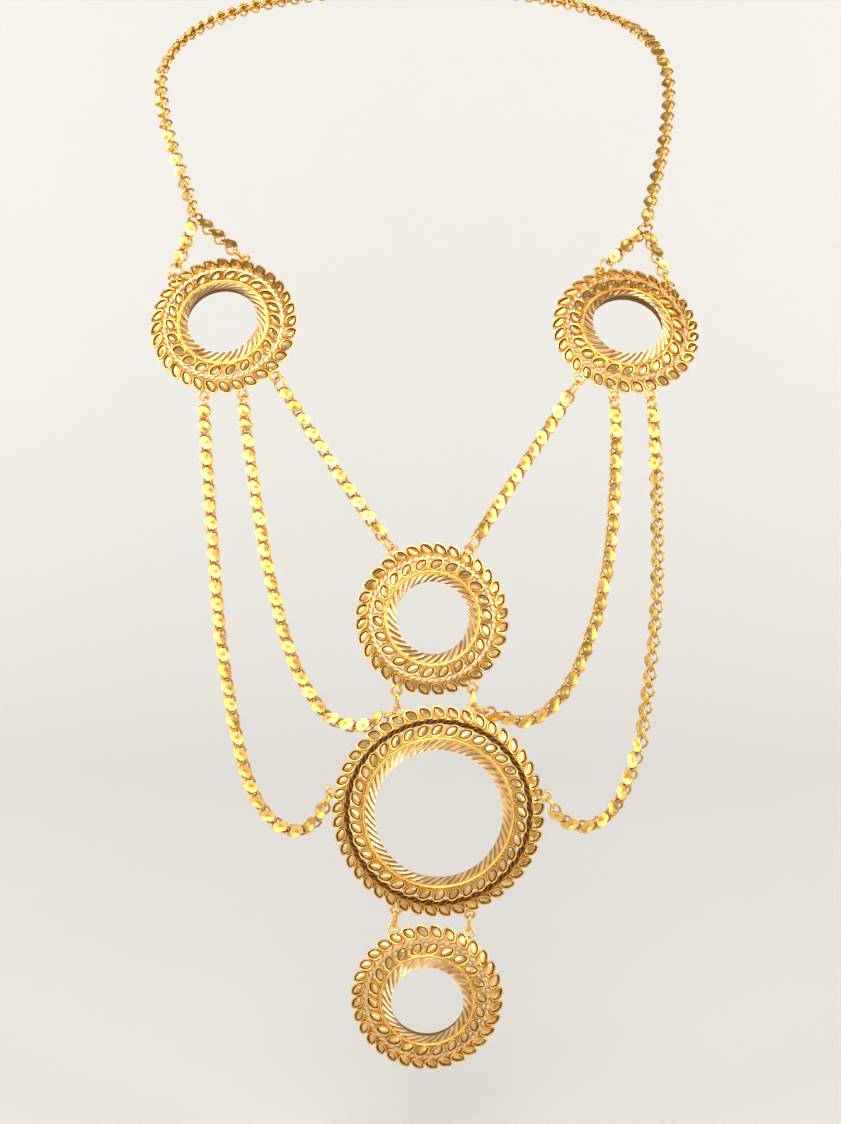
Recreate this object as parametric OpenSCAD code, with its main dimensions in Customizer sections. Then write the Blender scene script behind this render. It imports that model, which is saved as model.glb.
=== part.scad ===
// Coin-frame necklace: five open coin frames with laurel borders on platelet chain.
// Millimetres. Origin: nape of the neck, on the inner face of the clasp.
// X to the wearer's left seen from the front, -Y to the front, +Z up.

/* [Output] */
// sub-part to build on its own, or all

/* [Small coin frame] */
// opening radius in front of the coin
small_open_r = 10.5; // [9:0.1:12]
// radius of the leaf tips
small_rim_r = 21.8; // [20:0.1:24]
// radius of the stem between the leaf rows
small_stem_r = 17.7; // [16:0.1:19]
// leaves in the outer row
small_outer_n = 32; // [24:1:40]
// leaves in the inner row
small_inner_n = 22; // [16:1:30]

/* [Large coin frame] */
// opening radius in front of the coin
large_open_r = 18.4; // [16:0.1:20]
// radius of the leaf tips
large_rim_r = 30.2; // [28:0.1:32]
// radius of the stem between the leaf rows
large_stem_r = 26.1; // [24:0.1:27]
// leaves in the outer row
large_outer_n = 45; // [36:1:52]
// leaves in the inner row
large_inner_n = 36; // [28:1:42]

/* [Frame section] */
// height of the opening edge above the rim plane
rise = 4.3; // [3:0.1:6]
// radial width of the cut bezel
bezel_w = 2.7; // [2:0.1:4]
// thickness of the sheet under the leaves
sheet_t = 0.5; // [0.4:0.05:1]
// coin seat radius beyond the opening
seat_lip = 0.6; // [0.3:0.1:1]

/* [Leaves] */
// leaf length
leaf_l = 4.7; // [4:0.1:6]
// leaf width
leaf_w = 2.8; // [2:0.1:3.5]
// leaf thickness
leaf_t = 0.9; // [0.6:0.1:1.4]
// slant of the outer leaves from the radius
outer_slant = 45; // [30:1:60]
// slant of the inner leaves from the radius
inner_slant = 48; // [30:1:60]

/* [Rings] */
// centreline radius of the soldered eyes
eye_r = 1.4; // [1.1:0.05:1.6]
// wire radius of the soldered eyes
eye_w = 0.36; // [0.3:0.02:0.5]
// wire radius of the jump rings and connecting links
ring_w = 0.36; // [0.3:0.02:0.45]
// centreline radius of the swag jump rings
swag_ring_r = 1.85; // [1.6:0.05:2.2]
// centreline radius of the V chain jump rings
v_ring_r = 2.4; // [1.8:0.05:2.5]
// centreline radius of the bail rings
bail_ring_r = 2.05; // [1.8:0.05:2.3]
// centreline radius of the apex rings
apex_ring_r = 2.15; // [1.6:0.05:2.4]

/* [Chain] */
// wire radius of the chain links
link_w = 0.34; // [0.28:0.01:0.4]
// centreline radius of the link loops
link_r = 1.75; // [1.5:0.05:2]
// offset of the loop centres from the link centre
link_c = 1.2; // [1:0.05:1.4]
// twist of each loop from the face of the chain
link_tw = 35; // [25:1:45]
// platelet length
plate_l = 4.3; // [3.5:0.1:5]
// platelet width
plate_w = 2.8; // [2.4:0.1:3.2]

/* [Hidden] */

gold = [0.86, 0.66, 0.28];
gap = 0.2;

// the chest the necklace lies on: [height z, depth y] down the middle
chest = [[-330, -163.7], [-290, -163.7], [-275, -163.3], [-260, -162.5], [-244, -161.1],
         [-230, -159.3], [-215, -156.6], [-200, -153], [-190, -150], [-175, -144.9],
         [-160, -139], [-145, -132.3], [-130, -124.7], [-115, -116.4], [-100, -107.4],
         [-85, -98.1]];
// face angle of the chest above level, against height
lean = [[-330, 0], [-290, 0], [-238, 7], [-190, 17.6], [-118, 29], [-90, 32]];
chest_k = 0.0006;

function chest_y(x, z) = lookup(z, chest) + chest_k * (x - 1) * (x - 1);
function on_chest(p) = [p[0], chest_y(p[0], p[1]) - (len(p) > 2 ? p[2] : 0), p[1]];
function unit(v) = v / norm(v);
function chest_n(p) = unit([2 * chest_k * (p[0] - 1), -1, tan(lookup(p[2], lean))]);
// outward direction of the neck chain, away from the axis of the neck
function neck_n(p) = unit([p[0] / 85, (p[1] + 60) / 62, 0.55]);

// coin frame poses: [centre, lean up, turn to the side, size]
pose_ul = [[-59.9, -110.3, -108.4], 28, -3, 0];
pose_ur = [[60.4, -111.2, -110], 37, 6, 0];
pose_c = [[2.3, -150, -190], 17.6, 2, 0];
pose_l = [[4.1, -161.1, -244], 6.8, 0, 1];
pose_d = [[0.9, -163.7, -299.1], 0, 0, 0];

// eye angles round each frame, counter-clockwise from its right side
eyes_ul = [136, 77, -102, -73, -45];
eyes_ur = [104, 47, -133.5, -104.5, -76.5];
eyes_c = [119, 61, -117, -60];
eyes_l = [112, 71, 170, 8, -113, -73];
eyes_d = [115, 58];

eye_slope = 24;
function eye_rho(pose) = (pose[3] == 0 ? small_rim_r : large_rim_r) + 1.1;
eye_h = -0.15;

// direction tools: a vector of a frame's own axes brought into the necklace frame
function rx(a, v) = [v[0], cos(a) * v[1] - sin(a) * v[2], sin(a) * v[1] + cos(a) * v[2]];
function rz(a, v) = [cos(a) * v[0] - sin(a) * v[1], sin(a) * v[0] + cos(a) * v[1], v[2]];
function to_world(pose, v) = pose[0] + rz(pose[2], rx(90 - pose[1], v));
function eye_at(pose, a) =
    to_world(pose, [eye_rho(pose) * cos(a), eye_rho(pose) * sin(a), eye_h]);

// the way an eye faces: square to the slope of the outer leaves
function eye_n(pose, a) = to_world(pose, [sin(eye_slope) * cos(a),
    sin(eye_slope) * sin(a), cos(eye_slope)]) - pose[0];

// the point on a ring's wire toward q; the ring has centre c, faces n and has radius r
function hook(c, n, r, q) = let (v = q - c) c + r * unit(v - (v * n) * n);
function eye_hook(pose, a, q) = hook(eye_at(pose, a), eye_n(pose, a), eye_r, q);

// smooth path through waypoints, and points at a distance along it
function spline(a, b, c, d, t) =
    0.5 * (2 * b + (c - a) * t + (2 * a - 5 * b + 4 * c - d) * t * t
    + (3 * b - a - 3 * c + d) * t * t * t);
function path(p) = [for (i = [0:len(p) - 2]) for (k = [0:5])
    spline(p[max(i - 1, 0)], p[i], p[i + 1], p[min(i + 2, len(p) - 1)], k / 6),
    p[len(p) - 1]];
function steps(p) = [for (i = 0, s = 0; i < len(p);
    s = s + (i + 1 < len(p) ? norm(p[i + 1] - p[i]) : 0), i = i + 1) s];
function table(p, s, k) = [for (i = [0:len(p) - 1]) [s[i], p[i][k]]];
function tables(p) = let (q = path(p), s = steps(q))
    [table(q, s, 0), table(q, s, 1), table(q, s, 2), s[len(s) - 1]];
function at(t, s) = [lookup(s, t[0]), lookup(s, t[1]), lookup(s, t[2])];
function dir_at(t, s) = unit(at(t, s + 1.4) - at(t, s - 1.4));

// stand children at p with x along t and z toward n, then rolled about x
module stand(p, t, n, roll) {
    c = atan2(t[1], t[0]);
    b = -asin(t[2]);
    y0 = [-sin(c), cos(c), 0];
    z0 = [sin(b) * cos(c), sin(b) * sin(c), cos(b)];
    a = atan2(-(n * y0), n * z0);
    translate(p)
        rotate([a + roll, b, c])
        children();
}

// coin frame

// one leaf: a pointed oval rim round a sunk floor
module leaf() {
    rad = (leaf_l * leaf_l + leaf_w * leaf_w) / (4 * leaf_w);
    off = rad - leaf_w / 2;
    in_rad = rad - 0.38;
    difference() {
        intersection() {
            translate([0, off, 0])
                cylinder(r = rad, h = leaf_t);
            translate([0, -off, 0])
                cylinder(r = rad, h = leaf_t);
        }
        translate([0, 0, leaf_t - 0.35])
            intersection() {
                translate([0, off, 0])
                    cylinder(r = in_rad, h = 1);
                translate([0, -off, 0])
                    cylinder(r = in_rad, h = 1);
            }
    }
}

// rows of leaves on the sloping sheet
module leaf_row(n, rho, h, slope, slant, start) {
    for (i = [0:n - 1])
        rotate([0, 0, start + i * 360 / n])
            translate([rho, 0, h])
            rotate([0, slope, 0])
            rotate([0, 0, slant])
            leaf();
}

// soldered eye: a wire ring on the slope of the outer leaves, with its solder foot
module eye(rho, a) {
    rotate([0, 0, a])
        translate([rho, 0, eye_h])
        rotate([0, eye_slope, 0]) {
            rotate_extrude()
                translate([eye_r, 0])
                circle(eye_w);
            translate([-2.9, 0, 0])
                rotate([0, 90, 0])
                cylinder(r = 0.47, h = 1.7);
        }
}

module coin_frame(open_r, rim_r, stem_r, outer_n, inner_n, eyes) {
    bez_r = open_r + bezel_w;
    bez_h = rise - 1.4;
    seat_r = open_r + seat_lip;
    stem_h = 1.95;
    foot_r = rim_r - 1.1;
    foot_h = 0.55;
    difference() {
        union() {
            // bezel with its front lip and coin seat, sheet and stem ridge
            rotate_extrude()
                polygon([[open_r, rise], [bez_r, bez_h], [bez_r + 0.25, bez_h + 0.2],
                         [bez_r + 0.55, bez_h], [stem_r - 0.55, stem_h],
                         [stem_r - 0.1, stem_h + 0.45], [stem_r + 0.1, stem_h + 0.45],
                         [stem_r + 0.5, stem_h - 0.1], [foot_r, foot_h],
                         [foot_r, foot_h - sheet_t], [stem_r, stem_h - 0.25 - sheet_t],
                         [bez_r, bez_h - 0.15 - sheet_t], [seat_r + 0.8, rise - 1.9],
                         [seat_r + 0.8, 0.4], [seat_r, 0.4], [seat_r, rise - 0.75],
                         [open_r, rise - 0.75]]);
            leaf_row(outer_n, (stem_r + rim_r) / 2 + 0.3, 0.75, eye_slope, outer_slant, 2);
            leaf_row(inner_n, (bez_r + stem_r) / 2 + 0.1, 2.1, 11, -inner_slant, 6);
            for (a = eyes)
                eye(rim_r + 1.1, a);
        }
        // pierced gaps between the inner leaves, at the stem
        for (i = [0:inner_n - 1])
            rotate([0, 0, 6 + i * 360 / inner_n + 95 / stem_r])
                translate([stem_r - 1.15, 0, -1])
                linear_extrude(6)
                polygon([[0.45, -0.8], [0.45, 0.75], [-0.5, 0.45]]);
    }
}

module frame_at(pose, eyes) {
    translate(pose[0])
        rotate([90 - pose[1], 0, pose[2]])
        if (pose[3] == 0)
            coin_frame(small_open_r, small_rim_r, small_stem_r, small_outer_n,
                       small_inner_n, eyes);
        else
            coin_frame(large_open_r, large_rim_r, large_stem_r, large_outer_n,
                       large_inner_n, eyes);
}

module coin_frame_upper_left() {
    color(gold)
        frame_at(pose_ul, eyes_ul);
}

module coin_frame_upper_right() {
    color(gold)
        frame_at(pose_ur, eyes_ur);
}

module coin_frame_centre() {
    color(gold)
        frame_at(pose_c, eyes_c);
}

module coin_frame_large() {
    color(gold)
        frame_at(pose_l, eyes_l);
}

module coin_frame_drop() {
    color(gold)
        frame_at(pose_d, eyes_d);
}

// chain

// one link: two crossed wire rings soldered to a flat platelet across the face
module link() {
    rotate([-link_tw, 0, 0])
        translate([-link_c, 0, 0])
        wire_ring(link_r, link_w);
    rotate([link_tw, 0, 0])
        translate([link_c, 0, 0])
        wire_ring(link_r, link_w);
    rotate([0, 0, 38])
        translate([0, 0, link_r * sin(link_tw) + 0.08])
        intersection() {
            cylinder(r = plate_l / 2, h = 0.45);
            translate([-3, -plate_w / 2, -1])
                cube([6, plate_w, 3]);
        }
}

module wire_ring(r, w) {
    rotate_extrude()
        translate([r, 0])
        circle(w);
}

// distances along the path: from an eye's wire to the ring in it, from that ring to
// the first link, and from a wire of radius w straight to the first link
function eye_gap(r) = r - eye_w - ring_w - gap;
function link_gap(r) = r + link_c + link_r - ring_w - link_w - gap;
function wire_gap(w) = link_c + link_r - w - link_w - gap;

// links spread evenly along a path between two end distances; rolls: [link, degrees]
module links(t, n, from, to, rolls, on_neck = false) {
    p = (t[3] - from - to) / (n - 1);
    for (i = [0:n - 1]) {
        c = at(t, from + i * p);
        d = dir_at(t, from + i * p);
        stand(c, d, on_neck ? neck_n(c) : chest_n(c), lookup(i, rolls))
            link();
    }
}

// a chain between eye a of one frame and eye b of another, a jump ring at each end
module eye_chain(fa, a, mid, fb, b, n, r, rolls, turn_a, turn_b) {
    m = [for (q = mid) on_chest(q)];
    t = tables(concat([eye_hook(fa, a, m[0])], m, [eye_hook(fb, b, m[len(m) - 1])]));
    g = eye_gap(r);
    stand(at(t, g), dir_at(t, 1.4), eye_n(fa, a), turn_a)
        wire_ring(r, ring_w);
    links(t, n, g + link_gap(r), g + link_gap(r), rolls);
    stand(at(t, t[3] - g), dir_at(t, t[3] - 1.4), eye_n(fb, b), turn_b)
        wire_ring(r, ring_w);
}

// three links from an apex ring down to a bail ring in a frame's eye
module bail(apex, apex_n, pose, a, rolls, turn) {
    t = tables([hook(apex, apex_n, apex_ring_r, eye_at(pose, a)),
                eye_hook(pose, a, apex)]);
    g = eye_gap(bail_ring_r);
    links(t, 3, wire_gap(ring_w), g + link_gap(bail_ring_r), rolls);
    stand(at(t, t[3] - g), dir_at(t, t[3] - 1.4), eye_n(pose, a), turn)
        wire_ring(bail_ring_r, ring_w);
}

// neck chain from an apex ring round to an eye of the clasp
module neck_chain(apex, apex_n, mid, side, n, rolls) {
    c = [side * clasp_eye_x, clasp_y, 0];
    t = tables(concat([hook(apex, apex_n, apex_ring_r, mid[0])], mid,
                      [hook(c, clasp_n(side), clasp_eye_r, mid[len(mid) - 1])]));
    links(t, n, wire_gap(ring_w), wire_gap(eye_w), rolls, true);
}

apex_left = [-69.7, -93.5, -77];
apex_right = [67.85, -91.24, -80.07];
clasp_y = 2;
clasp_eye_x = 5.9;
clasp_eye_r = 1.3;
// turn of the clasp's eyes about its length
clasp_turn = 28.7;
clasp_fan = -35;
function clasp_n(side) = rx(clasp_turn + side * clasp_fan, [0, 0, 1]);
apex_n_left = unit([-0.235, -0.672, 0.702]);
apex_n_right = unit([-0.284, -0.666, 0.69]);

// waypoints on the chest: [x, z, how far it stands out from the chest]
v_left_mid = [[-35.2, -135.3], [-23.7, -151.6]];
v_right_mid = [[38, -135.5], [26.5, -151.6]];
inner_left_mid = [[-51.7, -141.1], [-46.7, -168.9], [-42, -188.2], [-38.5, -199.2],
                  [-35, -207], [-31.1, -213.1], [-26.57, -217.76, 0.15],
                  [-20.44, -219.85, 0.04], [-15.76, -219.44, 0.16]];
inner_right_mid = [[56.58, -141.16], [54.36, -168.38, -0.04], [50.4, -187.7],
                   [47.5, -195.9], [45.1, -202], [42.1, -207.5], [38.3, -212.7],
                   [34.37, -216.23, 0.15], [28.8, -218.51, -0.18],
                   [23.03, -217.34, -0.03]];
outer_left_mid = [[-64.1, -142], [-59.5, -188.4], [-56.6, -208.4], [-53.9, -222.7],
                  [-51.5, -232.2], [-48.8, -239.5], [-45.5, -244.8],
                  [-41.63, -248.51, -0.32], [-36.08, -249.86, -0.24],
                  [-30.98, -246.8, 0.06]];
outer_right_mid = [[68.2, -142], [68.3, -160], [67.4, -187.9], [63.4, -220],
                   [61.6, -227.5], [59.4, -234.4], [56.5, -240.8],
                   [53.08, -245.58, -0.22], [47.12, -248.75, -0.29],
                   [40.13, -246.77, 0.18]];
// waypoints of the neck chain, the last five behind the neck: [x, y, z]
neck_left_mid = [[-72.29, -87.02, -69.33], [-75.3, -81.3, -62.3],
                 [-78.5, -74.8, -54.6], [-81.1, -68, -47.3], [-83.2, -60, -39],
                 [-83.9, -53, -31.8], [-81.8, -46.6, -25.6], [-78, -37.5, -19.6],
                 [-70.4, -26.2, -13.4], [-58.7, -15.6, -8], [-44, -7.1, -4],
                 [-25.6, -0.6, -1.2]];
neck_right_mid = [[69.55, -87.83, -73.74], [72, -82, -65.5], [74.5, -75.8, -57.4],
                  [76.4, -69, -49], [78, -60.8, -39.5], [78.2, -53.3, -31.5],
                  [76.3, -46.8, -25.2], [72.6, -37.5, -19.2], [65.6, -26.2, -13.2],
                  [54.6, -15.6, -8], [41, -7.1, -4], [24, -0.6, -1.2]];

module v_chain_left() {
    color(gold)
        eye_chain(pose_ul, -45, v_left_mid, pose_c, 119, 11, v_ring_r,
                  [[0, 8], [2, 0], [8, 0], [10, -8]], 60, -60);
}

module v_chain_right() {
    color(gold)
        eye_chain(pose_ur, -133.5, v_right_mid, pose_c, 61, 11, v_ring_r,
                  [[0, 10], [2, 0], [8, 0], [10, -8]], 60, -60);
}

module inner_swag_left() {
    color(gold)
        eye_chain(pose_ul, -73, inner_left_mid, pose_l, 112, 24, swag_ring_r,
                  [[0, 8], [2, 0], [19, 0], [23, -34.7]], 64, -72.7);
}

module inner_swag_right() {
    color(gold)
        eye_chain(pose_ur, -104.5, inner_right_mid, pose_l, 71, 24, swag_ring_r,
                  [[0, 10.5], [2, -1.3], [21, -8.4], [23, -33.2]], 59.3, 88.4);
}

module outer_swag_left() {
    color(gold)
        eye_chain(pose_ul, -102, outer_left_mid, pose_l, 170, 30, swag_ring_r,
                  [[0, 8], [2, 0], [27, -2.2], [29, -22.8]], 66, -56.8);
}

module outer_swag_right() {
    color(gold)
        eye_chain(pose_ur, -76.5, outer_right_mid, pose_l, 8, 29, swag_ring_r,
                  [[0, 8], [5, 70], [18, 70], [25, 8.9], [28, -17.8]], 68, 71.8);
}

module bail_left_outer() {
    color(gold)
        bail(apex_left, apex_n_left, pose_ul, 136, [[0, -8.8], [2, 13.7]], -54.5);
}

module bail_left_inner() {
    color(gold)
        bail(apex_left, apex_n_left, pose_ul, 77, [[0, -20.4], [2, -24.5]], -59);
}

module bail_right_inner() {
    color(gold)
        bail(apex_right, apex_n_right, pose_ur, 104, [[0, 12.1], [2, 5.9]], -60.6);
}

module bail_right_outer() {
    color(gold)
        bail(apex_right, apex_n_right, pose_ur, 47, [[0, -3.2], [2, -21.2]], -54.2);
}

module apex_ring_left() {
    color(gold)
        stand(apex_left, unit([83, -35, 0]), apex_n_left, 0)
        wire_ring(apex_ring_r, ring_w);
}

module apex_ring_right() {
    color(gold)
        stand(apex_right, unit([75, -30, 0]), apex_n_right, 0)
        wire_ring(apex_ring_r, ring_w);
}

module neck_chain_left() {
    color(gold)
        neck_chain(apex_left, apex_n_left, neck_left_mid, -1, 34,
                   [[0, -21.8], [4, 12], [8, 21], [12, 33], [20, 5], [33, 0]]);
}

module neck_chain_right() {
    color(gold)
        neck_chain(apex_right, apex_n_right, neck_right_mid, 1, 34,
                   [[0, -80], [4, -91.4], [8, -100], [12, -112], [26, 0], [33, 0]]);
}

// plain closed clasp: a barrel with an eye at each end
module clasp() {
    color(gold)
        translate([0, clasp_y, 0]) {
            rotate([0, 90, 0])
                translate([0, 0, -4.6])
                rotate_extrude()
                polygon([[0, 0], [1.3, 0], [1.7, 0.4], [2, 1.4], [2, 4.2], [1.75, 4.5],
                         [1.75, 4.7], [2, 5], [2, 7.8], [1.7, 8.8], [1.3, 9.2],
                         [0, 9.2]]);
            for (k = [-1, 1])
                translate([k * clasp_eye_x, 0, 0])
                    rotate([clasp_turn + k * clasp_fan, 0, 0])
                    wire_ring(clasp_eye_r, eye_w);
        }
}

// an oval link standing edge-on through two facing eyes, turned about the line
// between them
module connector(fa, a, fb, b, turn, slack = 0.14) {
    p = eye_hook(fa, a, eye_at(fb, b));
    q = eye_hook(fb, b, eye_at(fa, a));
    half = norm(q - p) / 2 + eye_w + ring_w + slack - tip_r;
    stand((p + q) / 2, unit(q - p), [0, -1, 0], 90 + turn)
        for (k = [-1, 1]) {
            translate([k * half, 0, 0])
                rotate([0, 0, -90 * k])
                rotate_extrude(angle = 180)
                translate([tip_r, 0])
                circle(ring_w);
            translate([-half - 0.15, k * tip_r, 0])
                rotate([0, 90, 0])
                cylinder(r = ring_w - 0.02, h = 2 * half + 0.3);
        }
}

tip_r = 1.2;

module link_centre_left() {
    color(gold)
        connector(pose_c, -117, pose_l, 112, -6);
}

module link_centre_right() {
    color(gold)
        connector(pose_c, -60, pose_l, 71, -16, 0.1);
}

module link_drop_left() {
    color(gold)
        connector(pose_l, -113, pose_d, 115, 18);
}

module link_drop_right() {
    color(gold)
        connector(pose_l, -73, pose_d, 58, 0);
}

coin_frame_upper_left();
coin_frame_upper_right();
coin_frame_centre();
coin_frame_large();
coin_frame_drop();
neck_chain_left();
neck_chain_right();
clasp();
apex_ring_left();
apex_ring_right();
bail_left_outer();
bail_left_inner();
bail_right_inner();
bail_right_outer();
v_chain_left();
v_chain_right();
inner_swag_left();
inner_swag_right();
outer_swag_left();
outer_swag_right();
link_centre_left();
link_centre_right();
link_drop_left();
link_drop_right();
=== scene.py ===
import math

import bpy
import numpy as np
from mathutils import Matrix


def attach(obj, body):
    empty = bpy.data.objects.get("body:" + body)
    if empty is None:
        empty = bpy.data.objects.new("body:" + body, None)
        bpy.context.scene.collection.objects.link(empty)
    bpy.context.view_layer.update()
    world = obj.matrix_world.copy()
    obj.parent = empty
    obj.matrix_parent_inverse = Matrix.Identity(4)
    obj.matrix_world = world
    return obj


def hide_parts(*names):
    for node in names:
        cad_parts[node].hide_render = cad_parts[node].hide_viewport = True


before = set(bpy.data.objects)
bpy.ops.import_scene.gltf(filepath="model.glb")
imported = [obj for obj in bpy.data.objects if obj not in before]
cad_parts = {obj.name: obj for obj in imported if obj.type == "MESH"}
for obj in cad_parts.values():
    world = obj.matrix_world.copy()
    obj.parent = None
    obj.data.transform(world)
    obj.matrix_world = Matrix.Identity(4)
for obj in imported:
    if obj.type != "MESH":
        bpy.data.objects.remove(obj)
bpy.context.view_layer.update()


# View and studio: the necklace is seen from the front, ten degrees from above, as it hangs when worn.
# A pale sweep of paper stands behind and below it, and soft boxes light it from the
# front and both sides, so that the cut gold has something bright to mirror.

camera = bpy.data.objects.new("camera", bpy.data.cameras.new("camera"))
camera.data.sensor_fit = "VERTICAL"
camera.data.sensor_height = 24.0
camera.data.lens = 44.48
camera.location = (-0.001, -0.738, -0.0696)
camera.rotation_euler = (math.radians(80), 0, 0)
bpy.context.scene.collection.objects.link(camera)
bpy.context.scene.camera = camera


def paper_sweep(floor, near, wall, bend, top, reach):
    """A floor at one height, a quarter circle, and a wall: the profile is carried
    straight across from side to side."""
    turn = np.linspace(0, math.pi / 2, 13)
    y = np.concatenate([[near], wall - bend + bend * np.sin(turn), [wall]])
    z = np.concatenate([[floor], floor + bend - bend * np.cos(turn), [top]])
    x, row = np.meshgrid(np.linspace(-reach, reach, 9), np.arange(len(y)))
    points = np.stack([x, y[row], z[row]], -1).reshape(-1, 3)
    k = np.arange(len(points)).reshape(x.shape)
    faces = np.stack([k[:-1, :-1], k[:-1, 1:], k[1:, 1:], k[1:, :-1]], -1)
    mesh = bpy.data.meshes.new("paper_sweep")
    mesh.from_pydata(points.tolist(), [], faces.reshape(-1, 4).tolist())
    mesh.shade_smooth()
    return mesh


paper = bpy.data.objects.new("paper_sweep", paper_sweep(
    floor=-0.36, near=-9.0, wall=0.75, bend=0.45, top=3.0, reach=9.0))
bpy.context.scene.collection.objects.link(paper)
paper_matt = bpy.data.materials.new("pale_paper")
paper_matt.use_nodes = True
paper_skin = paper_matt.node_tree.nodes["Principled BSDF"]
paper_skin.inputs["Base Color"].default_value = (0.55, 0.55, 0.55, 1)
paper_skin.inputs["Roughness"].default_value = 0.9
paper.data.materials.append(paper_matt)

# name, place, the point it is aimed at, width and height, power in watts
for name, place, aim, size, power in (
        ("soft_box_front", (-0.08, -1.5, 0.4), (0, -0.1, -0.18), (0.8, 1.5), 11),
        ("soft_box_left", (-1.25, -0.9, 0.55), (0, -0.1, -0.18), (0.6, 0.9), 10),
        ("soft_box_right", (1.25, -0.8, 0.35), (0, -0.1, -0.2), (0.35, 0.9), 8),
        ("soft_box_top", (-0.1, -0.95, 1.0), (0, -0.1, -0.15), (1.0, 0.5), 9),
        ("paper_light_left", (-1.3, -0.1, 0.3), (-0.2, 0.75, -0.1), (0.4, 1.0), 12),
        ("paper_light_right", (1.3, -0.1, 0.3), (0.2, 0.75, -0.1), (0.4, 1.0), 12)):
    lamp = bpy.data.lights.new(name, "AREA")
    lamp.shape = "RECTANGLE"
    lamp.size, lamp.size_y = size
    lamp.energy = power
    lamp.color = (1.0, 0.98, 0.94)
    holder = bpy.data.objects.new(name, lamp)
    holder.location = place
    away = np.array(place) - np.array(aim)
    holder.rotation_euler = (math.atan2(math.hypot(away[0], away[1]), away[2]), 0,
                             math.atan2(away[0], -away[1]))
    bpy.context.scene.collection.objects.link(holder)

room = bpy.data.worlds.new("dim_room")
room.use_nodes = True
room.node_tree.nodes["Background"].inputs["Color"].default_value = (1.0, 0.86, 0.68, 1)
room.node_tree.nodes["Background"].inputs["Strength"].default_value = 0.2
bpy.context.scene.world = room
bpy.context.scene.view_settings.view_transform = "Standard"


# Coin frames: five open frames, each a turned bezel with diamond-cut flutes and a seat for a coin,
# a pierced sheet round it, and two rows of laurel leaves either side of a cut stem.
# Each leaf is a rim of wire round a facetted plate. All of it is gold, soldered as one.

# From here on lengths are in millimetres and angles in degrees; piece() brings the meshes to metres.
RISE = 4.3  # height of the bezel's lip over the frame's plane
BEZEL = 2.7  # width of the fluted slope
FALL = 1.4  # how far the slope falls from the lip to its outer edge
FLUTE_COLS = 5  # columns of faces to a flute
FLUTE_SWING = 8  # columns that the flutes swing back by, down the slope
SEAT = 0.6  # width of the ledge in front of the coin's seat
SHEET = 0.5  # thickness of the pierced sheet
LEAF = (5.1, 3.5, 0.95)  # length, width and thickness of a leaf
LEAF_SLOPE = 24  # how far the outer leaves, and the eyes on them, lean outward
EYE_R = 1.4  # from the middle of an eye to the middle of its wire
EYE_W = 0.36  # radius of the eyes' wire in the solids
EYE_OUT = 1.1  # how far an eye's middle lies outside the rim of the frame
EYE_LOW = -0.15  # height of an eye's middle over the frame's plane
FULLER = 0.03  # the visible wires of rings and links are thicker than the solids' by this radius
# radii of the opening, the rim and the stem; leaves in each row, and flutes; where each row
# of leaves starts; how much painted shade darkens the stem, and how far its cuts tip
SMALL = dict(open_r=10.5, rim_r=21.8, stem_r=17.7, outer=32, inner=22, flutes=33,
             outer_start=3.6, inner_start=3.1, stem_dark=0.1, stem_twist=0.2)
LARGE = dict(open_r=18.4, rim_r=30.2, stem_r=26.1, outer=45, inner=36, flutes=57,
             outer_start=1.5, inner_start=0.75, stem_dark=0.8, stem_twist=0.03)


def turned(axis, degrees):
    """Rotation matrix about one of the axes 0, 1, 2."""
    a = math.radians(degrees)
    m = np.eye(3)
    i, j = [(1, 2), (2, 0), (0, 1)][axis]
    m[i, i] = m[j, j] = math.cos(a)
    m[j, i], m[i, j] = math.sin(a), -math.sin(a)
    return m


def grid_faces(rows, cols, shut_rows=None, flip=False, pinched=False):
    """Quads of a grid that closes across its columns. shut_rows closes the last row on
    the first, moved on by that many columns; pinched gathers the first and the last
    row in a point each."""
    k = np.arange(rows * cols).reshape(rows, cols)
    if pinched:
        k[0], k[-1] = k[0, 0], k[-1, 0]
    if shut_rows is not None:
        k = np.vstack([k, np.roll(k[0], shut_rows)])
    n = np.roll(k, -1, 1)
    f = np.stack([k[:-1], n[:-1], n[1:], k[1:]], -1).reshape(-1, 4)
    return f[:, ::-1] if flip else f


def shell(points, faces, cut=0.0, dark=0.0):
    """A closed skin: points, four corner numbers to a face (a triangle repeats one), and at each point
    how cut the gold is, marked above one for a painted highlight, and how darkened it is, which is painted
    shade except for the clasp's dark seam."""
    points = np.asarray(points, float).reshape(-1, 3)
    finish = np.zeros((len(points), 2))
    finish[:, 0], finish[:, 1] = np.ravel(cut), np.ravel(dark)
    return points, faces, finish


def repeated(skin, turns, places):
    """Copies of a skin: each point is turned by one matrix and moved by one place."""
    points, faces, finish = skin
    n = len(turns)
    many = np.einsum("nij,pj->npi", turns, points) + np.asarray(places)[:, None]
    step = np.arange(n)[:, None, None] * len(points)
    return many.reshape(-1, 3), (faces + step).reshape(-1, 4), np.tile(finish, (n, 1))


def joined(skins):
    """One skin out of several, corner numbers moved on."""
    points, faces, finish = zip(*skins)
    start = np.cumsum([0] + [len(p) for p in points[:-1]])
    return np.vstack(points), np.vstack([f + k for f, k in zip(faces, start)]), np.vstack(finish)


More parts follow.
